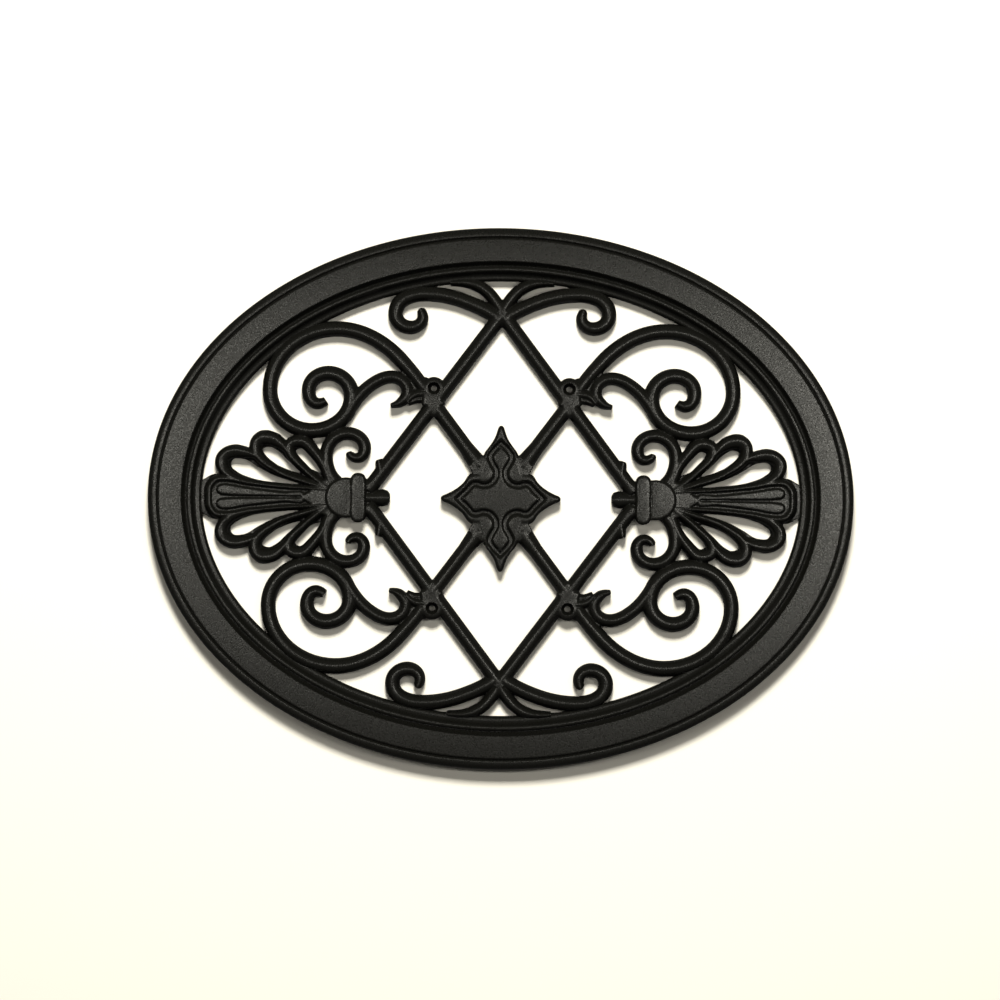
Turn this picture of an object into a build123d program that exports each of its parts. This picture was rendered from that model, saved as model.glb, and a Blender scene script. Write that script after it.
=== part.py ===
from build123d import *
import os
from math import atan2, cos, degrees, hypot, radians, sin, sqrt

# Oval gate insert panel, cast in one piece.
# X runs across, Z up, and the front looks toward -Y. The flat back lies on y = 0,
# and the origin is the middle of the oval on that back.

# Overall size of the oval
panel_width = 520.0
panel_height = 398.8

# Frame ring: places are distances in from the outer edge, heights are above the back
ring_depth = 18.0
edge_easing = 1.6
edge_bead_width = 7.2
edge_groove_width = 1.6
edge_groove_depth = 1.2
face_band_width = 15.6
valley_slope = 1.4
valley_width = 2.0
valley_height = 13.6
inner_bead_width = 4.6
inner_bead_height = 16.2
bead_side = 1.5
ledge_slope = 0.8
ledge_width = 5.6
ledge_height = 11.6

# Bars: one height above the back, and the widths at the back
scroll_height = 13.0
lattice_bar_width = 10.4
scroll_bar_width = 10.8
top_bar_width = 10.4
leaf_bar_width = 9.0
palmette_bar_width = 9.2
calyx_width = 10.4
collar_leaf_width = 7.4
tip_width = 3.4

# The lattice bars lean in to a crest, a share of their width; the scrolls have upright sides
lattice_crest_share = 0.52
lattice_slope = 1.335
lattice_overrun = 6.0

# Tips narrow in straight facets, one for each step of turn in degrees
taper_step = 30.0
taper_power = 1.4

# Screw bosses, one beside each lattice crossing
screw_spacing_x = 100.0
screw_spacing_z = 162.0
boss_radius = 7.9
screw_head_radius = 4.7
screw_head_depth = 5.0
screw_hole_radius = 2.3
boss_rise = 11.3

# Palmette cup, collar and bud, and the centre ornament
petal_rim = 10.2
petal_slope_depth = 5.0
petal_slope_width = 3.2
collar_width = 10.8
collar_half_length = 17.9
collar_height = 15.2
cup_half_height = 14.6
cup_height = 14.4
moulding_chamfer = 1.2
bud_radius = 6.4
bud_height = 12.2
neck_width = 12.0
neck_height = 11.0
ornament_height = 13.9
ornament_groove_width = 2.8
ornament_groove_depth = 2.2

# The scrollwork is drawn for an opening of this half size and stretched to the real one
drawn_half_width = 220.8
drawn_half_height = 161.2

ring_width = (edge_bead_width + edge_groove_width + face_band_width + valley_slope + valley_width
              + inner_bead_width + ledge_slope + ledge_width)
half_width = panel_width / 2
half_height = panel_height / 2
opening_half_width = half_width - ring_width
opening_half_height = half_height - ring_width
stretch_x = opening_half_width / drawn_half_width
stretch_z = opening_half_height / drawn_half_height
crossing_x = screw_spacing_x / 2
crossing_z = screw_spacing_z / 2 - boss_rise
junction_z = crossing_z + crossing_x * lattice_slope


def at(x, z):
    # A drawn place, moved with the opening
    return (x * stretch_x, z * stretch_z)


def by_crossing(x, z):
    # A place given from the lattice crossing
    return (crossing_x + x, crossing_z + z)


def bar_section(width, height, crest_share=1.0):
    # Upright sides, or sides that lean in toward a narrower crest, seen along the bar
    foot = width / 2
    crest = foot * crest_share
    return make_face(
        Polyline((-foot, 0), (foot, 0), (crest, height), (-crest, height), (-foot, 0)).edges()
    )


def section_plane(point, heading):
    # Local x runs across the bar, local y toward the front, and the normal along the bar
    h = radians(heading)
    return Plane(origin=(point[0], 0, point[1]), x_dir=(-sin(h), 0, cos(h)), z_dir=(cos(h), 0, sin(h)))


def arc_between(start, heading, end):
    # The edge that leaves start along heading and ends at end, with its heading there
    chord = degrees(atan2(end[1] - start[1], end[0] - start[0]))
    turn = (2 * (chord - heading) + 360) % 720 - 360
    if turn > 180:
        turn -= 360
    if turn < -180:
        turn += 360
    a = Vector(start[0], 0, start[1])
    b = Vector(end[0], 0, end[1])
    if abs(turn) < 0.1:
        return Edge.make_line(a, b), heading
    h = radians(heading)
    edge = Edge.make_tangent_arc(a, Vector(cos(h), 0, sin(h)), b)
    return edge, heading + turn


def joint_point(start, start_heading, end, end_heading):
    # Where the pair of equal-handled arcs between two headings meets
    t1 = (cos(radians(start_heading)), sin(radians(start_heading)))
    t2 = (cos(radians(end_heading)), sin(radians(end_heading)))
    v = (end[0] - start[0], end[1] - start[1])
    vt = v[0] * (t1[0] + t2[0]) + v[1] * (t1[1] + t2[1])
    vv = v[0] ** 2 + v[1] ** 2
    k = 2 * (1 - (t1[0] * t2[0] + t1[1] * t2[1]))
    if k < 1e-9:
        d = vv / (2 * vt)
    else:
        d = (sqrt(vt * vt + k * vv) - vt) / k
    return (
        (start[0] + end[0] + d * (t1[0] - t2[0])) / 2,
        (start[1] + end[1] + d * (t1[1] - t2[1])) / 2,
    )


def run_edges(stations):
    # Tangent arcs through a list of stations, each a place and a heading in degrees
    edges = []
    for (p, hp), (q, hq) in zip(stations, stations[1:]):
        middle = joint_point(p, hp, q, hq)
        first, heading = arc_between(p, hp, middle)
        second, heading = arc_between(middle, heading, q)
        edges += [first, second]
    return edges


def bar(stations, width, height):
    # A bar of constant section through the stations
    profile = section_plane(*stations[0]) * bar_section(width, height)
    return sweep(profile, path=Wire(run_edges(stations)))


def heading_at(edge, position):
    tangent = edge.tangent_at(position)
    return degrees(atan2(tangent.Z, tangent.X))


def turn_along(edge):
    # How far the heading changes along an edge, in degrees
    turn = heading_at(edge, 1) - heading_at(edge, 0)
    return (turn + 180) % 360 - 180


def tapered_end(stations, width, height):
    # The last stretch of a scroll, narrowing to a blunt tip
    edges = run_edges(stations)
    total = sum(e.length for e in edges)
    sections = []
    done = 0.0
    for edge in edges:
        steps = max(1, round(abs(turn_along(edge)) / taper_step))
        first = 0 if edge is edges[0] else 1
        for k in range(first, steps + 1):
            position = k / steps
            share = (done + position * edge.length) / total
            point = edge.position_at(position)
            plane = section_plane((point.X, point.Z), heading_at(edge, position))
            w = width + (tip_width - width) * share ** taper_power
            sections.append(plane * bar_section(w, height))
        done += edge.length
    return [loft(sections, ruled=True)]


def scroll(stations, taper_from, width, height):
    # Constant up to one station, then tapered to the tip
    return [
        bar(stations[: taper_from + 1], width, height),
        *tapered_end(stations[taper_from:], width, height),
    ]


def plate(sketch, height):
    # A flat-backed relief of the given height
    return extrude(Plane.XZ * sketch, amount=height)


def oval_step(inward_low, low, inward_high, high):
    # A slice of the oval whose edge leans from one distance in from the rim to another
    faces = []
    for inward, height in ((inward_low, low), (inward_high, high)):
        outline = Ellipse(half_width - inward, half_height - inward)
        faces.append(Plane.XZ.offset(height) * outline)
    return loft(faces, ruled=True)


def ring():
    # Outer bead, groove and flat band, then a valley, a bead and a low ledge round the opening
    d1 = edge_bead_width
    d2 = d1 + edge_groove_width
    d3 = d2 + face_band_width
    d4 = d3 + valley_slope
    d5 = d4 + valley_width
    d6 = d5 + inner_bead_width
    d7 = d6 + ledge_slope
    d8 = d7 + ledge_width
    e = edge_easing
    body = oval_step(0, 0, 0, ring_depth - e) + oval_step(0, ring_depth - e, e, ring_depth)
    groove = oval_step((d1 + d2) / 2, ring_depth - edge_groove_depth, d1, ring_depth)
    groove -= oval_step((d1 + d2) / 2, ring_depth - edge_groove_depth, d2, ring_depth)
    body -= groove
    body -= oval_step(d4, valley_height, d3, ring_depth)
    bead = oval_step(d5, valley_height, d5 + bead_side, inner_bead_height)
    bead -= oval_step(d6, valley_height, d6 - bead_side, inner_bead_height)
    body += bead
    body -= oval_step(d7, ledge_height, d6, valley_height)
    opening = oval_step(d8, 0, d8, ledge_height - e) + oval_step(d8, ledge_height - e, d8 - e, ledge_height)
    return body - opening


def lattice():
    # One quarter of the crossed bars: junction to crossing to palmette, and crossing to ornament
    slope = lattice_slope
    crossing = (crossing_x, crossing_z)
    junction = (-lattice_overrun, crossing_z + (crossing_x + lattice_overrun) * slope)
    collar = at(97.5, 0)[0]
    foot = (collar, crossing_z - (collar - crossing_x) * slope)
    inner = (5.0, crossing_z - (crossing_x - 5.0) * slope)
    bars = []
    for start, end in ((junction, foot), (crossing, inner)):
        heading = degrees(atan2(end[1] - start[1], end[0] - start[0]))
        length = hypot(end[0] - start[0], end[1] - start[1])
        section = bar_section(lattice_bar_width, scroll_height, lattice_crest_share)
        bars.append(extrude(section_plane(start, heading) * section, amount=length))
    return bars


def big_scroll():
    stations = [
        (by_crossing(7.0, 10.5), 60),
        (at(73.9, 101.2), 48),
        (at(121.5, 124.5), 0),
        (at(171.2, 79.5), -90),
        (at(140.0, 49.2), -180),
        (at(110.8, 75.0), -270),
        (at(128.0, 91.7), -360),
        (at(142.6, 79.0), -450),
        (at(135.5, 69.4), -540),
        (at(129.8, 71.6), -575),
    ]
    return scroll(stations, 7, scroll_bar_width, scroll_height)


def branch_scroll():
    # Leaves the big scroll's left side and curls down beside the crossing
    stations = [
        (at(114.5, 61.0), 118),
        (at(97.5, 82.6), 143),
        (at(81.4, 89.35), 180),
        (at(69.4, 79.0), 270),
        (at(74.4, 70.8), 322),
        (at(79.6, 68.3), 340),
    ]
    calyx = [(by_crossing(4.0, 8.2), 0), (by_crossing(16.5, 4.3), -42)]
    return [
        *scroll(stations, 3, palmette_bar_width, scroll_height),
        bar(calyx, calyx_width, scroll_height),
    ]


def top_scroll():
    stations = [
        ((2.0, junction_z - 3.2), 33),
        (at(30.0, 146.5), 18.5),
        (at(57.0, 150.95), 0),
        (at(78.9, 136.5), -90),
        (at(67.5, 125.8), -180),
        (at(58.4, 134.0), -270),
        (at(59.3, 138.2), -290),
    ]
    leaf = [
        ((0.8, junction_z + 4.5), 58),
        (at(7.25, 149.6), 48),
        (at(18.3, 157.9), 22),
        (at(36.5, 159.4), 0),
    ]
    return [
        *scroll(stations, 4, top_bar_width, scroll_height),
        *scroll(leaf, 2, leaf_bar_width, scroll_height),
    ]


def palmette_volute():
    stations = [
        (at(121.3, 14.1), 40),
        (at(129.2, 31.0), 90),
        (at(113.3, 47.4), 180),
        (at(100.7, 36.4), 270),
        (at(106.5, 29.2), 360),
        (at(112.0, 32.0), 420),
    ]
    leaf = [
        (at(100.0, 5.5), 122),
        (at(91.6, 17.0), 105),
        (at(91.0, 25.5), 85),
    ]
    return [
        *scroll(stations, 3, palmette_bar_width, scroll_height),
        *tapered_end(leaf, collar_leaf_width, scroll_height),
    ]


def teardrop(apex, upper_mid, upper_end, head_mid, lower_end, lower_mid):
    # A pointed eye: two long sides from the apex and a round head
    upper = ThreePointArc(at(*apex), at(*upper_mid), at(*upper_end))
    head = ThreePointArc(at(*upper_end), at(*head_mid), at(*lower_end))
    lower = ThreePointArc(at(*lower_end), at(*lower_mid), at(*apex))
    return make_face([upper.edge(), head.edge(), lower.edge()])


def petal_eyes():
    # The three pierced eyes above the axis, from the middle petal outward
    return [
        teardrop((146.0, 8.7), (170.0, 16.4), (189.5, 27.3), (198.9, 27.2), (195.5, 18.8), (175.0, 11.7)),
        teardrop((146.4, 16.7), (157.0, 26.3), (166.5, 34.8), (175.2, 35.6), (173.5, 29.4), (160.0, 21.3)),
        teardrop((132.1, 17.0), (137.5, 26.2), (143.6, 34.2), (151.0, 34.8), (149.6, 28.8), (141.5, 21.5)),
    ]


def palmette_petals():
    # Petals round the eyes, each sloping down into its eye, and half of the solid middle petal
    middle = make_face(
        [
            *Polyline(at(208.5, 16.8), at(196.0, 17.0), at(146.0, 9.0), at(133.0, 13.0)).edges(),
            *Polyline(at(133.0, 13.0), at(112.0, 13.5), at(112.0, 0), at(224.0, 0), at(224.0, 10.0)).edges(),
            ThreePointArc(at(224.0, 10.0), at(217.5, 15.2), at(208.5, 16.8)).edge(),
        ]
    )
    outline = middle
    for eye in petal_eyes():
        outline += offset(eye, amount=petal_rim)
    above = Pos(170, 100) * Rectangle(200, 200)
    petals = plate(outline & above, scroll_height)
    for eye in petal_eyes():
        mouth = offset(eye, amount=petal_slope_width, kind=Kind.INTERSECTION)
        foot = Plane.XZ.offset(scroll_height - petal_slope_depth) * eye
        slope = loft([foot, Plane.XZ.offset(scroll_height) * mouth], ruled=True)
        petals -= plate(eye, scroll_height) + slope
    return petals


def palmette_base():
    # The collar, the cup, and the bud on its neck
    collar_x = at(105.4, 0)[0]
    cup_start = collar_x + collar_width / 4
    cup_end = at(128.6, 0)[0]
    shoulder = cup_end - cup_half_height
    collar = Pos(collar_x, 0) * SlotOverall(2 * collar_half_length, collar_width, rotation=90)
    cup_line = Polyline(
        (shoulder, -cup_half_height),
        (cup_start, -cup_half_height),
        (cup_start, cup_half_height),
        (shoulder, cup_half_height),
    )
    cup_arc = ThreePointArc((shoulder, cup_half_height), (cup_end, 0), (shoulder, -cup_half_height))
    cup = make_face([*cup_line.edges(), cup_arc.edge()])
    bud_x = at(88.0, 0)[0]
    neck = Pos((bud_x + collar_x) / 2, 0) * Rectangle(collar_x - bud_x, neck_width)
    bud = Pos(bud_x, 0) * Circle(bud_radius)
    pieces = [plate(neck, neck_height), plate(bud, bud_height)]
    for sketch, height in ((collar, collar_height), (cup, cup_height)):
        solid = plate(sketch, height)
        pieces.append(chamfer(solid.faces().sort_by(Axis.Y)[0].edges(), moulding_chamfer))
    return pieces


def four_fold(arcs):
    # A closed outline from the arcs of its upper right quarter
    edges = []
    for sx, sz in ((1, 1), (-1, 1), (-1, -1), (1, -1)):
        for start, middle, end in arcs:
            points = [(sx * x, sz * z) for x, z in (start, middle, end)]
            edges.append(ThreePointArc(*points).edge())
    return make_face(edges)


def ornament_outline():
    # Pointed lobes up, down and to the sides, with the bars' shoulders between them
    return four_fold(
        [
            ((0, 53.7), (4.3, 45.9), (9.3, 39.3)),
            ((9.3, 39.3), (13.2, 34.6), (15.6, 29.0)),
            ((15.6, 29.0), (16.3, 24.5), (17.5, 20.0)),
            ((17.5, 20.0), (24.9, 17.4), (28.6, 12.9)),
            ((28.6, 12.9), (34.8, 5.9), (44.4, 0)),
        ]
    )


def cross_outline():
    # The cross inside the border, along the middle of the groove round it
    return four_fold(
        [
            ((0, 40.7), (5.7, 35.0), (7.9, 30.5)),
            ((7.9, 30.5), (6.6, 26.4), (3.4, 20.0)),
            ((3.4, 20.0), (5.4, 12.9), (12.1, 9.6)),
            ((12.1, 9.6), (15.6, 9.4), (19.3, 10.9)),
            ((19.3, 10.9), (25.0, 5.7), (30.7, 0)),
        ]
    )


def ornament():
    # A lobed plate, with a groove cut round the cross
    half_groove = ornament_groove_width / 2
    groove = offset(cross_outline(), amount=half_groove, kind=Kind.INTERSECTION)
    groove -= offset(cross_outline(), amount=-half_groove, kind=Kind.INTERSECTION)
    floor = Plane.XZ.offset(ornament_height - ornament_groove_depth)
    cut = extrude(floor * groove, amount=2 * ornament_groove_depth)
    return plate(ornament_outline(), ornament_height) - cut


def screw_cutter():
    # The hole through a boss and the sunk seat of its screw head
    hole = Cylinder(screw_hole_radius, 2 * scroll_height)
    seat = Cylinder(screw_head_radius, 2 * screw_head_depth)
    return Rot(90, 0, 0) * (hole + Pos(0, 0, scroll_height) * seat)


def joined(pieces):
    # The pieces as one solid, added one at a time
    body = pieces[0]
    for piece in pieces[1:]:
        body += piece
    return body


def quarter():
    # Everything inside the ring in the upper right quarter
    boss = Rot(90, 0, 0) * Cylinder(boss_radius, scroll_height, align=(Align.CENTER, Align.CENTER, Align.MIN))
    return joined(
        [
            joined(lattice()),
            Pos(screw_spacing_x / 2, 0, screw_spacing_z / 2) * boss,
            joined(big_scroll()),
            joined(branch_scroll()),
            joined(top_scroll()),
            palmette_petals(),
            *palmette_volute(),
        ]
    )


def panel():
    corner = quarter()
    right = corner + mirror(corner, about=Plane.XY)
    right = joined([right, *palmette_base()])
    body = right + mirror(right, about=Plane.YZ)
    body += ornament()
    body += ring()
    for sx in (-1, 1):
        for sz in (-1, 1):
            body -= Pos(sx * screw_spacing_x / 2, 0, sz * screw_spacing_z / 2) * screw_cutter()
    return body


if __name__ == "__main__":
    os.makedirs("parts", exist_ok=True)
    body = panel()
    print("panel", round(body.volume), "mm3,", len(body.solids()), "solid,", len(body.faces()), "faces")
    export_step(body, "parts/panel.step")
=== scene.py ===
import bpy
from math import atan2, cos, degrees, hypot, pi, radians, sin
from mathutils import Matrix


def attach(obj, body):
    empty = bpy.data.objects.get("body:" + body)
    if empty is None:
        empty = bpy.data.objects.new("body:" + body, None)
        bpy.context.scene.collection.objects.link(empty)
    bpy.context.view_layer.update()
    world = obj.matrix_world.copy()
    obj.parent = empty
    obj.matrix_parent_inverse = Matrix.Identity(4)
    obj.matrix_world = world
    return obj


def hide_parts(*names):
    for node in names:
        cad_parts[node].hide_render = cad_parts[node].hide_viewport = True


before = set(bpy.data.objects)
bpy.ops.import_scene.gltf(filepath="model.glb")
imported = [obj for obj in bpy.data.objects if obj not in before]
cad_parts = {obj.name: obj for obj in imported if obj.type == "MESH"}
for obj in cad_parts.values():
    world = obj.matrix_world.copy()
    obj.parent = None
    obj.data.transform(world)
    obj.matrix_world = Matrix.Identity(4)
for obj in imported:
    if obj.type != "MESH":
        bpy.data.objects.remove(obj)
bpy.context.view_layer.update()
mm = 0.001

# The panel is drawn lying on its back, x to the right, y up the panel and z toward the viewer.
# Each finished piece is stood up at the end, so that its front faces -Y.


def pickOnly(thing):
    bpy.ops.object.select_all(action="DESELECT")
    thing.select_set(True)
    bpy.context.view_layer.objects.active = thing


def applyModifier(thing, kind, **settings):
    pickOnly(thing)
    modifier = thing.modifiers.new(kind.title(), kind)
    for name, value in settings.items():
        setattr(modifier, name, value)
    bpy.ops.object.modifier_apply(modifier=modifier.name)


def editMesh(thing):
    pickOnly(thing)
    bpy.ops.object.mode_set(mode="EDIT")
    bpy.ops.mesh.select_all(action="SELECT")


def leaveEdit():
    bpy.ops.object.mode_set(mode="OBJECT")


def joinAll(things, name):
    bpy.ops.object.select_all(action="DESELECT")
    for thing in things:
        thing.select_set(True)
    bpy.context.view_layer.objects.active = things[0]
    bpy.ops.object.join()
    things[0].name = name
    return things[0]


def toMesh(curve):
    pickOnly(curve)
    bpy.ops.object.convert(target="MESH")
    return curve


def standUp(thing):
    pickOnly(thing)
    thing.rotation_euler = (radians(90), 0, 0)
    bpy.ops.object.transform_apply(location=True, rotation=True, scale=True)


def emptyCurve(name):
    bpy.ops.curve.primitive_bezier_curve_add()
    curve = bpy.context.object
    curve.name = name
    curve.data.splines.clear()
    curve.data.dimensions = "2D"
    return curve


def barProfile(right, left, top):
    # The end view of a bar: upright sides, a round crest, and a foot sunk below the back
    curve = emptyCurve("barProfile")
    shoulder = barwork["shoulder"] * top
    points = [(right, -barwork["sink"]), (right, shoulder)]
    steps = barwork["crestSteps"]
    for step in range(1, steps + 1):
        turn = pi / 2 * step / steps
        points.append((right * cos(turn), shoulder + (top - shoulder) * sin(turn)))
    for step in range(steps - 1, -1, -1):
        turn = pi / 2 * step / steps
        points.append((-left * cos(turn), shoulder + (top - shoulder) * sin(turn)))
    points.append((-left, -barwork["sink"]))
    spline = curve.data.splines.new("POLY")
    spline.points.add(len(points) - 1)
    for point, (x, z) in zip(spline.points, points):
        point.co = (x * mm, z * mm, 0, 1)
    spline.use_cyclic_u = True
    return curve, len(points)


def drawBar(name, right, left, top, stations):
    # A bar through places with headings in degrees; the last number is its share of full width,
    # and right and left are its widths on each side of the crest, seen along the bar
    curve = emptyCurve(name)
    spline = curve.data.splines.new("BEZIER")
    spline.bezier_points.add(len(stations) - 1)
    spline.resolution_u = 14
    for index, (x, y, heading, size) in enumerate(stations):
        point = spline.bezier_points[index]
        point.handle_left_type = point.handle_right_type = "FREE"
        point.co = (x * mm, y * mm, 0)
        point.radius = size
        direction = (cos(radians(heading)), sin(radians(heading)))
        reaches = []
        for other in (index - 1, index + 1):
            if 0 <= other < len(stations):
                chord = hypot(stations[other][0] - x, stations[other][1] - y)
                turn = (stations[other][2] - heading + 180) % 360 - 180
                reaches.append(chord / (3 * cos(radians(turn) / 4) ** 2))
            else:
                reaches.append(1.0)
        back, forth = reaches
        point.handle_left = ((x - back * direction[0]) * mm, (y - back * direction[1]) * mm, 0)
        point.handle_right = ((x + forth * direction[0]) * mm, (y + forth * direction[1]) * mm, 0)
    profile, around = barProfile(right, left, top)
    curve.data.bevel_mode = "OBJECT"
    curve.data.bevel_object = profile
    curve.data.use_fill_caps = True
    toMesh(curve)
    bpy.data.objects.remove(profile)
    corners = curve.data.vertices
    for start in range(0, len(corners), around):
        ringCorners = corners[start:start + around]
        grow = top * mm / max(corner.co.z for corner in ringCorners)  # a narrowing tip keeps its height
        for corner in ringCorners:
            corner.co.z *= grow
    return curve


def drawPlate(name, outlines, bottom, top, rounding=0.0, grow=0.0):
    # A flat plate from closed outlines, where an inner outline is a hole; "c" marks a corner
    curve = emptyCurve(name)
    for outline in outlines:
        spline = curve.data.splines.new("BEZIER")
        spline.bezier_points.add(len(outline) - 1)
        spline.resolution_u = 10
        for point, place in zip(spline.bezier_points, outline):
            kind = "VECTOR" if len(place) > 2 else "AUTO"
            point.co = (place[0] * mm, place[1] * mm, 0)
            point.handle_left_type = point.handle_right_type = kind
        spline.use_cyclic_u = True
    curve.data.fill_mode = "BOTH"
    curve.data.extrude = ((top - bottom) / 2 - rounding) * mm
    curve.data.bevel_depth = rounding * mm
    curve.data.bevel_resolution = 3
    curve.data.offset = (grow - rounding) * mm
    toMesh(curve)
    curve.location.z = (top + bottom) / 2 * mm
    bpy.ops.object.transform_apply(location=True, rotation=False, scale=False)
    return curve


def turnedOver(things, axis):
    # Copies on the other side of the upright middle ("x") or of the long axis ("y")
    copies = []
    for thing in things:
        pickOnly(thing)
        bpy.ops.object.duplicate()
        copy = bpy.context.object
        copy.scale = (-1, 1, 1) if axis == "x" else (1, -1, 1)
        bpy.ops.object.transform_apply(location=False, rotation=False, scale=True)
        copies.append(copy)
    return copies


def otherSide(points):
    # The same outline points below the long axis, in reverse order
    return [(p[0], -p[1], *p[2:]) for p in reversed(points)]


def fourFold(points):
    # A closed outline from the points of its upper right quarter, both axes included
    right = points + otherSide(points[:-1])
    return right + [(-p[0], p[1], *p[2:]) for p in reversed(right[1:-1])]


# Bars of the lattice and the scrollwork, in millimetres: half widths and heights above the back. The
# shoulder, where the round crest begins, is a share of the top, and the sink is cut off again at the end
barwork = {
    "top": 13.0,
    "shoulder": 0.4,
    "crestSteps": 8,
    "sink": 2.0,
    "lattice": 5.45,
    "scroll": 5.65,
    "topScroll": 5.5,
    "leaf": 4.6,
    "branch": 4.8,
    "crossing": (50.0, 69.7),
    "junction": 136.45,
    "slope": 1.335,
    "boss": (50.0, 81.0),
    "bossRadius": 8.3,
    "seatRadius": 4.8,
    "seatDepth": 5.0,
    "innerEnd": 16.5,
    "holeRadius": 2.3,
}

top = barwork["top"]
sink = barwork["sink"]
slopeAngle = degrees(atan2(barwork["slope"], 1))
crossX, crossY = barwork["crossing"]


def evenBar(name, kind, stations):
    return drawBar(name, barwork[kind], barwork[kind], top, stations)


latticeDown = evenBar("latticeDown", "lattice", [
    (-2, barwork["junction"] + 2 * barwork["slope"], -slopeAngle, 1),
    (98, crossY - (98 - crossX) * barwork["slope"], -slopeAngle, 1),
])
latticeIn = evenBar("latticeIn", "lattice", [
    (crossX, crossY, slopeAngle + 180, 1),
    (barwork["innerEnd"], crossY - (crossX - barwork["innerEnd"]) * barwork["slope"], slopeAngle + 180, 1),
])
bigScroll = evenBar("bigScroll", "scroll", [
    (57.0, 80.2, 60, 0.86),
    (73.9, 101.2, 48, 1),
    (121.5, 124.5, 0, 1),
    (171.2, 79.5, -90, 0.95),
    (140.0, 49.2, -180, 1),
    (110.8, 75.0, -270, 1),
    (128.0, 91.7, -360, 0.98),
    (142.6, 79.0, -450, 0.9),
    (135.5, 69.2, -540, 0.76),
    (129.6, 71.4, -575, 0.56),
])
branchScroll = evenBar("branchScroll", "branch", [
    (114.5, 61.0, 118, 1),
    (97.5, 82.6, 143, 1),
    (81.4, 89.35, 180, 1),
    (69.4, 79.0, 270, 0.96),
    (74.4, 70.8, 322, 0.78),
    (81.9, 68.2, 352, 0.34),
])
calyx = evenBar("calyx", "branch", [
    (52, 77.6, 0, 0.8), (60, 77.2, -4, 0.8), (66, 74.9, -38, 0.7), (69.4, 70.4, -62, 0.36),
])
calyxLip = drawBar("calyxLip", 3.0, 3.0, 11.2, [(53, 73, 0, 1), (61, 72.9, -4, 1), (68.6, 69.4, -28, 0.5)])
topScroll = evenBar("topScroll", "topScroll", [
    (2, 133.25, 33, 1),
    (30.0, 146.5, 18.5, 1),
    (57.0, 150.95, 0, 1),
    (78.9, 136.5, -90, 0.98),
    (67.5, 126.0, -180, 0.92),
    (58.6, 134.0, -270, 0.74),
    (59.9, 138.6, -290, 0.6),
    (60.5, 140.0, -294, 0.32),
])
topLeaf = evenBar("topLeaf", "leaf", [
    (-1.6, 135.6, 58, 1),
    (7.5, 149.0, 51, 1),
    (18.3, 157.2, 22, 0.95),
    (38.5, 158.8, -6, 0.45),
])
volute = evenBar("volute", "branch", [
    (120.5, 11.0, 36, 1),
    (129.2, 31.0, 90, 1),
    (113.3, 47.4, 180, 1),
    (100.7, 36.4, 270, 0.96),
    (106.5, 29.2, 360, 0.78),
    (112.0, 32.4, 425, 0.62),
    (112.5, 33.8, 430, 0.34),
])
footFlare = evenBar("footFlare", "leaf", [(85, 23.2, -53, 1), (93.5, 12.6, -48, 1), (103, 7, -12, 1)])
horn = drawBar("horn", 2.9, 2.9, top, [
    (89.6, 15, 97, 1.2), (89.1, 20, 92, 0.95), (89.8, 25, 80, 1.1), (90.4, 28.2, 70, 0.8),
])
bud = drawBar("bud", 6.0, 6.0, 12.2, [
    (104, 0, 180, 0.9), (94.5, 0, 180, 0.82), (87.4, 0, 180, 1.08), (83.6, 0, 180, 0.9), (81.8, 0, 180, 0.45),
])
print("bars drawn")

# The palmette: ribs round pierced eyes, a solid foot for them, and spoons in the middle petal
palmette = {
    "webTop": 5.0,
    "footTop": 12.6,
    "outline": [
        (112, 0, "c"), (112, 13, "c"), (126, 13, "c"), (130, 24), (133.9, 34.4, "c"),
        (138.6, 41.8), (144, 45.6), (150, 46.3), (155.7, 43.6), (158.2, 41.3, "c"),
        (161.5, 44.2), (168.6, 48.4), (174.5, 49.4), (180, 47.8), (184.6, 41), (185.5, 35.7, "c"),
        (191, 37.8), (197, 38.6), (204.3, 35.8), (210, 28.6), (210.7, 23.3), (208.4, 16.8, "c"),
        (212.9, 16.3), (218.6, 13.2), (224, 10, "c"), (224, 0, "c"),
    ],
    "eyes": [
        [(146, 9.2, "c"), (170, 11), (186, 14.4), (195.5, 18.8), (199.6, 23.4), (197, 28.2),
         (189.5, 27.8), (179, 21.8), (168, 16.2)],
        [(146.4, 16.9, "c"), (160, 21.3), (173.5, 29.2), (176.6, 34.2), (172, 37.1), (166.5, 35.2),
         (157, 26.6)],
        [(132.1, 17.4, "c"), (141.5, 21.7), (149.6, 28.8), (152, 33.6), (147.6, 36.2), (143.6, 34.4),
         (137.5, 26.4)],
    ],
    "middleTop": 10.4,
    "middle": [
        (124, 5, "c"), (150, 5.6), (175, 7.6), (195, 11.2), (205, 12.4), (211, 10), (213.6, 5), (214, 0.5),
    ],
    "spoonTop": 12.4,
    "spoon": [
        (145, 1.4), (160, 3.4), (175, 5.0), (190, 7.0), (200, 8.7), (206, 8.7), (209.2, 6.0), (208, 2.9),
        (202, 1.5), (190, 0.9), (170, 0.8), (150, 0.7),
    ],
    "foot": [
        (112, 12.8, "c"), (126.5, 13.4), (131.5, 12.6), (135, 10.6), (136.8, 7.0), (140.5, 5.0), (144, 2.8),
        (147, 0.6),
    ],
}

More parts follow.
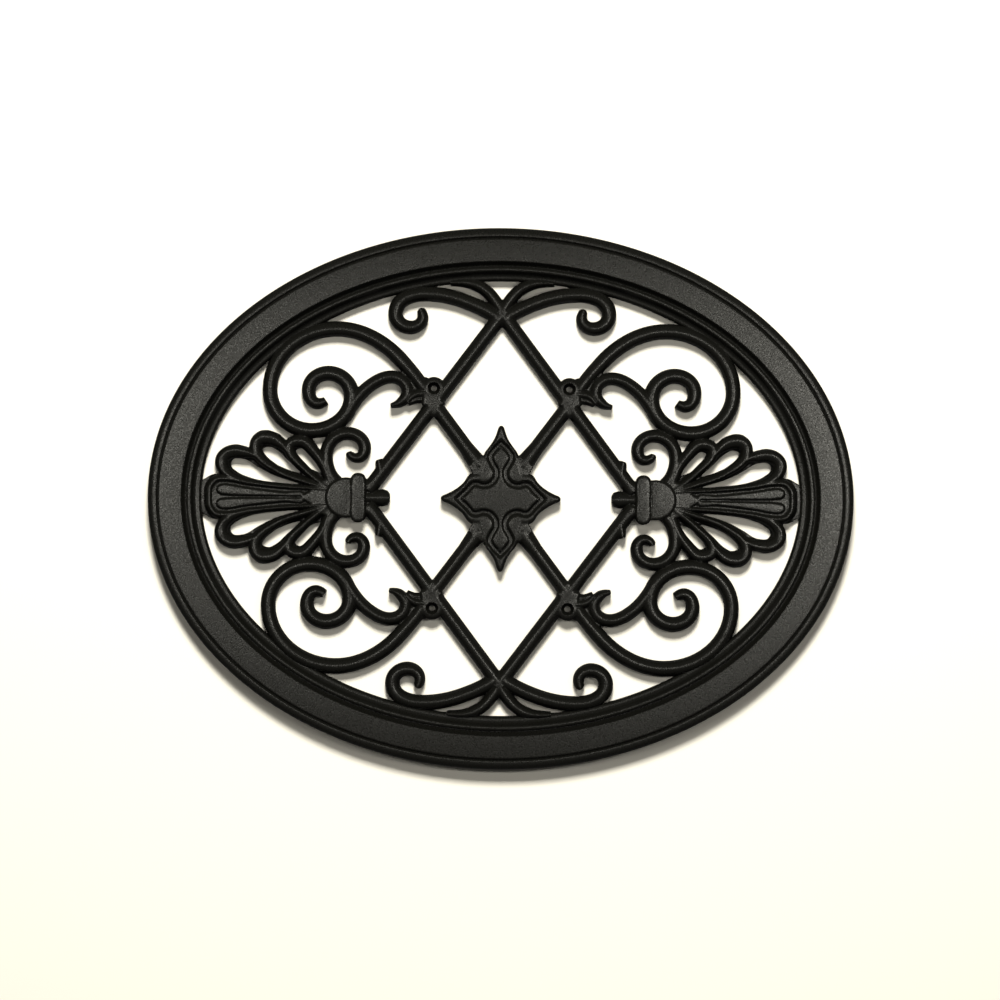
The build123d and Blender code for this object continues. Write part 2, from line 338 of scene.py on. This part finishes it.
wholeOutline = palmette["outline"] + otherSide(palmette["outline"])[1:-1]
eyes = palmette["eyes"] + [otherSide(eye) for eye in palmette["eyes"]]
petalWeb = drawPlate("petalWeb", [wholeOutline, *eyes], -sink, palmette["webTop"])
petalFoot = drawPlate(
    "petalFoot", [palmette["foot"] + otherSide(palmette["foot"])], -sink, palmette["footTop"], 1.2
)
ribs = [
    drawBar("outerRib", 6.0, 4.4, top, [
        (125, 10, 62, 0.7), (130.6, 23.6, 64, 0.72), (138.2, 34.6, 50, 0.86), (148.6, 42.0, 0, 0.96),
        (157.2, 36.4, -92, 0.86), (145.2, 20.6, -136, 0.6), (126, 6, -150, 0.55),
    ]),
    drawBar("middleRib", 6.9, 4.5, top, [
        (156.4, 32.0, 58, 0.3), (165, 42.1, 36, 0.9), (174.3, 44.8, 0, 1), (182.2, 36.4, -94, 0.84),
        (165.9, 19.4, -149, 0.56), (148, 12.4, -164, 0.5), (126, 6, -168, 0.5),
    ]),
    drawBar("innerRib", 6.6, 4.0, top, [
        (179.4, 29.0, 40, 0.3), (189, 33.6, 14, 0.9), (198.6, 34.4, -12, 0.98), (207.3, 25, -94, 1),
        (199.0, 14.3, -152, 0.72), (176, 9.0, -173, 0.44), (146, 6.6, -177, 0.4), (126, 5.6, -177, 0.4),
    ]),
    drawBar("headRib", 2.6, 3.6, top, [
        (192, 11.4, 12, 0.8), (205.5, 13.2, 0, 1), (211.6, 11.0, -50, 1), (214.7, 5.2, -86, 1),
        (214.9, -1, -90, 1),
    ]),
]
middlePetal = drawPlate(
    "middlePetal", [palmette["middle"] + otherSide(palmette["middle"])], -sink, palmette["middleTop"]
)
spoon = drawPlate("spoon", [palmette["spoon"]], 0, palmette["spoonTop"], 0.9)
collar = drawPlate("collar", [[
    (99.6, 0), (99.6, 13.0), (101.2, 16.8), (105.2, 18.3), (109.2, 16.8), (110.8, 13.0), (110.8, 0),
    (110.8, -13.0), (109.2, -16.8), (105.2, -18.3), (101.2, -16.8), (99.6, -13.0),
]], -sink, 15.0, 2.2)
cup = drawPlate("cup", [[
    (111.0, 0), (111.0, 14.5, "c"), (115, 14.8), (121, 13.0), (126.8, 7.8), (129, 0), (126.8, -7.8),
    (121, -13.0), (115, -14.8), (111.0, -14.5, "c"),
]], -sink, 14.4, 1.6)
cupNeck = drawPlate("cupNeck", [[
    (97, 9, "c"), (116, 12.5, "c"), (116, -12.5, "c"), (97, -9, "c"),
]], -sink, 10.4)
print("palmette drawn")

# The lobed ornament in the middle, with a cross left standing inside a groove. The groove's cutter
# reaches up to toolTop, clear of the face
ornament = {
    "top": 13.1,
    "toolTop": 20.0,
    "grooveDepth": 3.2,
    "grooveWidth": 3.4,
    "lipDepth": 0.9,
    "lipWidth": 5.6,
    "easing": 3.0,
    "outline": [
        (0, 54.0), (1.6, 53.1), (2.8, 50.3), (3.9, 46.9), (5.6, 43.2), (9.0, 38.2), (11.8, 34.4),
        (13.0, 31.6, "c"), (17.0, 19.0, "c"), (21.4, 18.5), (24.6, 16.3), (26.7, 12.9), (30.2, 9.3),
        (35.0, 5.9), (40.2, 3.2), (43.4, 1.7), (44.3, 0),
    ],
    "groove": [
        (0, 40.7, "c"), (5.7, 35), (7.9, 30.5), (6.4, 26.4), (3.2, 20), (5.4, 12.9), (12.1, 9.6),
        (19.3, 10.9), (25, 5.7), (30.7, 0, "c"),
    ],
}
lobes = drawPlate("lobes", [fourFold(ornament["outline"])], -sink, ornament["top"], ornament["easing"])
for depth, width in (("grooveDepth", "grooveWidth"), ("lipDepth", "lipWidth")):
    floor = ornament["top"] - ornament[depth]
    grooveTool = drawPlate(
        "grooveTool", [fourFold(ornament["groove"])], floor, ornament["toolTop"], 0, ornament[width] / 2
    )
    applyModifier(lobes, "BOOLEAN", operation="DIFFERENCE", object=grooveTool, solver="EXACT")
    bpy.data.objects.remove(grooveTool)
cross = drawPlate(
    "cross", [fourFold(ornament["groove"])], 0, ornament["top"], 1.3, -ornament["grooveWidth"] / 2
)
shoulder = evenBar("shoulder", "lattice", [
    (15.6, 23.8, slopeAngle, 1.35),
    (19, 28.4, slopeAngle, 1.2),
    (27, 39, slopeAngle, 0.98),
])
shoulderWeb = drawPlate("shoulderWeb", [[
    (11.2, 26.5, "c"), (13.2, 31.8, "c"), (23.8, 24.2, "c"), (21.2, 19.2, "c"), (19, 16, "c"), (13.5, 16, "c"),
]], -sink, 12.6)
print("ornament drawn")

bpy.ops.mesh.primitive_cylinder_add(
    vertices=48,
    radius=barwork["bossRadius"] * mm,
    depth=(top + sink) * mm,
    location=(barwork["boss"][0] * mm, barwork["boss"][1] * mm, (top - sink) / 2 * mm),
)
boss = bpy.context.object
boss.name = "boss"
bpy.ops.object.transform_apply(location=True, rotation=True, scale=True)
editMesh(boss)
bpy.ops.mesh.bevel(offset=3.0 * mm, segments=4)
leaveEdit()
webbing = drawPlate("crossingWeb", [[
    (50, 84), (45, 79), (43.6, 73), (41.8, 69.6), (44.8, 67.2), (50, 60.2), (55.2, 67.0), (58.6, 68.4),
    (58.4, 74), (57, 80),
]], -sink, 12.8, 2.4)
leafWeb = drawPlate("leafWeb", [[
    (54, 88), (60, 90), (68, 95), (75, 91), (71, 85), (69, 77), (70, 71), (64, 71.6), (58, 71),
]], -sink, 9.0)

# The upper right quarter, with what crosses its two edges turned over, under one skin that
# blends the bars where they meet as a casting does
acrossMiddle = [latticeDown, topScroll, topLeaf]
acrossAxis = [latticeDown, footFlare, horn, volute, spoon, *ribs]
copies = turnedOver(acrossMiddle, "x") + turnedOver(acrossAxis, "y")
bars = [latticeIn, shoulder, bigScroll, branchScroll, calyx, calyxLip, bud, boss, webbing, leafWeb]
plates = [petalWeb, petalFoot, middlePetal, collar, cup, cupNeck, lobes, cross, shoulderWeb]
scrollwork = joinAll([*bars, *plates, *copies, topScroll, topLeaf, *acrossAxis], "scrollwork")
editMesh(scrollwork)
bpy.ops.mesh.remove_doubles(threshold=0.000001)
bpy.ops.mesh.normals_make_consistent(inside=False)
leaveEdit()

skin = {
    "voxel": 0.5,
    "smoothing": 0.5,
    "passes": 8,
    "keep": 0.105,
    "overlap": 4.0,
    "exact": 0.001,
    "merge": 0.02,
}
scrollwork.data.remesh_voxel_size = skin["voxel"] * mm
scrollwork.data.remesh_voxel_adaptivity = 0
pickOnly(scrollwork)
bpy.ops.object.voxel_remesh()
print("skinned", len(scrollwork.data.polygons))


def cutOff(thing, place, direction):
    # Removes what lies on the side that direction points away from
    editMesh(thing)
    bpy.ops.mesh.bisect(plane_co=place, plane_no=direction, clear_inner=True, threshold=skin["exact"] * mm)
    leaveEdit()


overlap = skin["overlap"] * mm
cutOff(scrollwork, (-overlap, 0, 0), (1, 0, 0))
cutOff(scrollwork, (0, -overlap, 0), (0, 1, 0))
applyModifier(scrollwork, "SMOOTH", factor=skin["smoothing"], iterations=skin["passes"])
applyModifier(scrollwork, "DECIMATE", ratio=skin["keep"])
cutOff(scrollwork, (0, 0, 0), (1, 0, 0))
cutOff(scrollwork, (0, 0, 0), (0, 1, 0))
print("quarter", len(scrollwork.data.polygons))
applyModifier(scrollwork, "MIRROR", use_axis=(True, True, False), merge_threshold=skin["merge"] * mm)

# A slab takes the feet off flush with the back, then come the screw holes and their tapering sunk seats
cutter = {"slab": (600, 500, 10), "drillLength": 30, "sides": 40, "seatSlack": 1.0}
bpy.ops.mesh.primitive_cube_add(size=1, location=(0, 0, -cutter["slab"][2] / 2 * mm))
slab = bpy.context.object
slab.scale = [side * mm for side in cutter["slab"]]
bpy.ops.object.transform_apply(location=True, rotation=True, scale=True)
tools = []
seatDepth = barwork["seatDepth"]
for sideX in (-1, 1):
    for sideY in (-1, 1):
        across = sideX * barwork["boss"][0] * mm
        upward = sideY * barwork["boss"][1] * mm
        bpy.ops.mesh.primitive_cylinder_add(
            vertices=cutter["sides"],
            radius=barwork["holeRadius"] * mm,
            depth=cutter["drillLength"] * mm,
            location=(across, upward, 10 * mm),
        )
        bpy.ops.object.transform_apply(location=True, rotation=True, scale=True)
        tools.append(bpy.context.object)
        bpy.ops.mesh.primitive_cone_add(
            vertices=cutter["sides"],
            radius1=(barwork["holeRadius"] + 0.1) * mm,
            radius2=(barwork["seatRadius"] + 0.3) * mm,
            depth=(seatDepth + cutter["seatSlack"]) * mm,
            location=(across, upward, (top - seatDepth / 2 + cutter["seatSlack"] / 2) * mm),
        )
        bpy.ops.object.transform_apply(location=True, rotation=True, scale=True)
        tools.append(bpy.context.object)
for tool in tools:
    applyModifier(slab, "BOOLEAN", operation="UNION", object=tool, solver="EXACT")
    bpy.data.objects.remove(tool)
applyModifier(scrollwork, "BOOLEAN", operation="DIFFERENCE", object=slab, solver="EXACT", use_self=True)
bpy.data.objects.remove(slab)
print("holes drilled", len(scrollwork.data.polygons))
pickOnly(scrollwork)
bpy.ops.object.shade_smooth_by_angle(angle=radians(50))
standUp(scrollwork)

# The moulded ring: a circle stretched to the oval, drawn inward step by step along its section, which
# gives places in from the outer edge and heights above the back
rim = {
    "halfWidth": 260.0,
    "halfHeight": 199.4,
    "around": 320,
    "section": [
        (0, 0), (0, 13.4), (0.1, 14.2), (0.4, 15.2), (0.9, 16.1), (1.6, 16.9), (2.4, 17.45), (3.2, 17.75),
        (4.2, 17.92), (5.2, 18), (5.9, 17.98), (6.3, 17.85), (6.65, 17.4), (6.9, 16.7), (7.25, 16.4),
        (7.6, 16.7), (7.85, 17.3), (8.1, 17.7), (8.5, 17.86), (9.0, 17.9), (9.3, 17.9), (24.1, 17.9),
        (24.4, 17.88), (24.8, 17.6), (25.1, 17.0), (25.4, 16.2), (26.6, 14.0), (27.5, 13.0), (28.0, 12.9),
        (28.3, 13.5), (28.6, 14.6), (29.0, 15.25), (29.6, 15.52), (30.3, 15.6), (31.0, 15.55), (31.6, 15.3),
        (32.1, 14.6), (32.6, 13.2), (33.1, 11.8), (34.0, 10.7), (35.0, 10.1), (36.0, 9.8), (36.8, 9.75),
        (37.5, 9.5), (38.1, 9.0), (38.6, 8.2), (38.8, 7.2), (38.8, 0),
    ],
}
bpy.ops.mesh.primitive_circle_add(vertices=rim["around"], radius=1)
ring = bpy.context.object
ring.name = "ring"
editMesh(ring)
bpy.ops.transform.resize(value=(rim["halfWidth"] * mm, rim["halfHeight"] * mm, 1))
inward, level = rim["section"][0]
for nextInward, nextLevel in rim["section"][1:]:
    bpy.ops.mesh.extrude_region_move()
    wide = (rim["halfWidth"] - nextInward) / (rim["halfWidth"] - inward)
    high = (rim["halfHeight"] - nextInward) / (rim["halfHeight"] - inward)
    bpy.ops.transform.resize(value=(wide, high, 1), center_override=(0, 0, 0))
    bpy.ops.transform.translate(value=(0, 0, (nextLevel - level) * mm))
    inward, level = nextInward, nextLevel
bpy.ops.mesh.select_all(action="DESELECT")
bpy.ops.mesh.select_non_manifold()
bpy.ops.mesh.bridge_edge_loops()
bpy.ops.mesh.select_all(action="SELECT")
bpy.ops.mesh.normals_make_consistent(inside=False)
leaveEdit()
pickOnly(ring)
bpy.ops.object.shade_smooth_by_angle(angle=radians(40))
standUp(ring)
print("ring drawn", len(ring.data.polygons))


def linearFromHex(code):
    parts = [int(code[i:i + 2], 16) / 255 for i in (1, 3, 5)]
    return (*[v / 12.92 if v <= 0.04045 else ((v + 0.055) / 1.055) ** 2.4 for v in parts], 1)


def addNode(tree, kind, settings=None, links=None):
    # Adds a node; settings name its own values or its inputs, and links join its inputs to other nodes
    node = tree.nodes.new(kind)
    for name, value in (settings or {}).items():
        if name in node.inputs:
            node.inputs[name].default_value = value
        else:
            setattr(node, name, value)
    for name, source in (links or {}).items():
        tree.links.new(source, node.inputs[name])
    return node


def newMaterial(name):
    material = bpy.data.materials.new(name)
    material.use_nodes = True
    material.node_tree.nodes.clear()
    return material, material.node_tree


# The grain's width and depth are those of a sand casting under paint, in millimetres
coating = {
    "colour": "#0e0e0c",
    "roughness": (0.24, 0.37),
    "grainWidth": 1.1,
    "grainDepth": 0.07,
}

# Satin black powder coat over the casting's grain: near black, with a fine speckle where it faces the light
blackCoat, tree = newMaterial("satinBlackPowderCoat")
place = addNode(tree, "ShaderNodeTexCoord").outputs["Object"]
grain = addNode(
    tree, "ShaderNodeTexNoise", {"Scale": 1 / (coating["grainWidth"] * mm), "Detail": 2.0}, {"Vector": place}
)
smoothest, roughest = coating["roughness"]
speckle = addNode(
    tree,
    "ShaderNodeMapRange",
    {"From Min": 0.32, "From Max": 0.68, "To Min": smoothest, "To Max": roughest},
    {"Value": grain.outputs["Fac"]},
)
bump = addNode(
    tree,
    "ShaderNodeBump",
    {"Strength": 1.0, "Distance": coating["grainDepth"] * mm},
    {"Height": grain.outputs["Fac"]},
)
surface = addNode(
    tree,
    "ShaderNodeBsdfPrincipled",
    {"Base Color": linearFromHex(coating["colour"]), "IOR": 1.5, "Specular IOR Level": 0.6},
    {"Normal": bump.outputs["Normal"], "Roughness": speckle.outputs["Result"]},
)
addNode(tree, "ShaderNodeOutputMaterial", {}, {"Surface": surface.outputs["BSDF"]})

for piece in (scrollwork, ring):
    piece.data.materials.clear()
    piece.data.materials.append(blackCoat)
    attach(piece, "root")
    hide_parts("panel")
print("coated")

# White backdrop on which the panel lies, seen only from the front. The camera sees it lit, while all other
# rays
# meet a painted dark grey in its place: painted shade that the coating mirrors along its edges and that dims
# light bounced off the wall
studio = {"wallColour": "#f4f1ea", "paintedShadeGrey": 0.05}
bpy.ops.mesh.primitive_plane_add(size=6, location=(0, 0.3 * mm, 0), rotation=(radians(90), 0, 0))
wall = bpy.context.object
wall.name = "backdrop"
wallPaint, tree = newMaterial("mattWhitePaint")
rays = addNode(tree, "ShaderNodeLightPath")
paint = addNode(tree, "ShaderNodeBsdfDiffuse", {"Color": linearFromHex(studio["wallColour"])})
# painted shade: what every ray but the camera's sees of the wall, a dark grey in place of the lit white
paintedShadeWall = addNode(tree, "ShaderNodeBsdfDiffuse", {"Color": (*[studio["paintedShadeGrey"]] * 3, 1)})
byRay = addNode(tree, "ShaderNodeMixShader", {}, {"Fac": rays.outputs["Is Camera Ray"]})
tree.links.new(paintedShadeWall.outputs[0], byRay.inputs[1])
tree.links.new(paint.outputs[0], byRay.inputs[2])
behind = addNode(tree, "ShaderNodeNewGeometry")
clear = addNode(tree, "ShaderNodeBsdfTransparent")
frontOnly = addNode(tree, "ShaderNodeMixShader", {}, {"Fac": behind.outputs["Backfacing"]})
tree.links.new(byRay.outputs[0], frontOnly.inputs[1])
tree.links.new(clear.outputs[0], frontOnly.inputs[2])
addNode(tree, "ShaderNodeOutputMaterial", {}, {"Surface": frontOnly.outputs[0]})
wall.data.materials.append(wallPaint)

# Soft lamps: a broad one above that lights the wall and throws the shadows down, and two low strips before
# the panel that draw the line of light along each crest. Only the strips are mirrored in the coat.
lampColour = (1.0, 0.97, 0.87)
lamps = [
    {
        "name": "topLamp",
        "place": (0.0, -2.2, 1.5),
        "width": 0.6,
        "height": 0.6,
        "power": 108,
        "mirrored": False,
    },
    {
        "name": "rightStrip",
        "place": (0.42, -1.2, 0.06),
        "width": 0.5,
        "height": 0.12,
        "power": 2.2,
        "mirrored": True,
    },
    {
        "name": "leftStrip",
        "place": (-0.40, -1.2, 0.06),
        "width": 0.5,
        "height": 0.12,
        "power": 1.5,
        "mirrored": True,
    },
]
for lamp in lamps:
    bpy.ops.object.light_add(type="AREA", location=lamp["place"])
    light = bpy.context.object
    light.name = lamp["name"]
    light.data.shape = "RECTANGLE"
    light.data.size = lamp["width"]
    light.data.size_y = lamp["height"]
    light.data.energy = lamp["power"]
    light.data.color = lampColour
    light.visible_glossy = lamp["mirrored"]
    x, y, z = lamp["place"]  # aimed at the panel's middle
    light.rotation_euler = (atan2(hypot(x, y), z), 0, atan2(x, -y))

# A little light from all round, and pure white where the camera looks past the backdrop
world = bpy.data.worlds.new("studioAir")
bpy.context.scene.world = world
world.use_nodes = True
tree = world.node_tree
tree.nodes.clear()
rays = addNode(tree, "ShaderNodeLightPath")
air = addNode(tree, "ShaderNodeBackground", {"Color": (1, 0.97, 0.9, 1), "Strength": 0.05})
white = addNode(tree, "ShaderNodeBackground", {"Color": (1, 1, 1, 1), "Strength": 1.0})
shown = addNode(tree, "ShaderNodeMixShader", {}, {"Fac": rays.outputs["Is Camera Ray"]})
tree.links.new(air.outputs[0], shown.inputs[1])
tree.links.new(white.outputs[0], shown.inputs[2])
addNode(tree, "ShaderNodeOutputWorld", {}, {"Surface": shown.outputs[0]})

# Camera straight in front, far off, with the photograph's slight roll
camera = {"distance": 3.0, "frameWidth": 0.7398, "roll": 0.5}
bpy.ops.object.camera_add(location=(-0.0005, -camera["distance"], -0.0009))
viewer = bpy.context.object
viewer.data.sensor_width = 36
viewer.data.lens = 36 * camera["distance"] / camera["frameWidth"]
viewer.data.clip_end = 20
viewer.rotation_euler = (radians(90), radians(-camera["roll"]), 0)
scene = bpy.context.scene
scene.camera = viewer
scene.view_settings.view_transform = "Standard"
print("studio set")
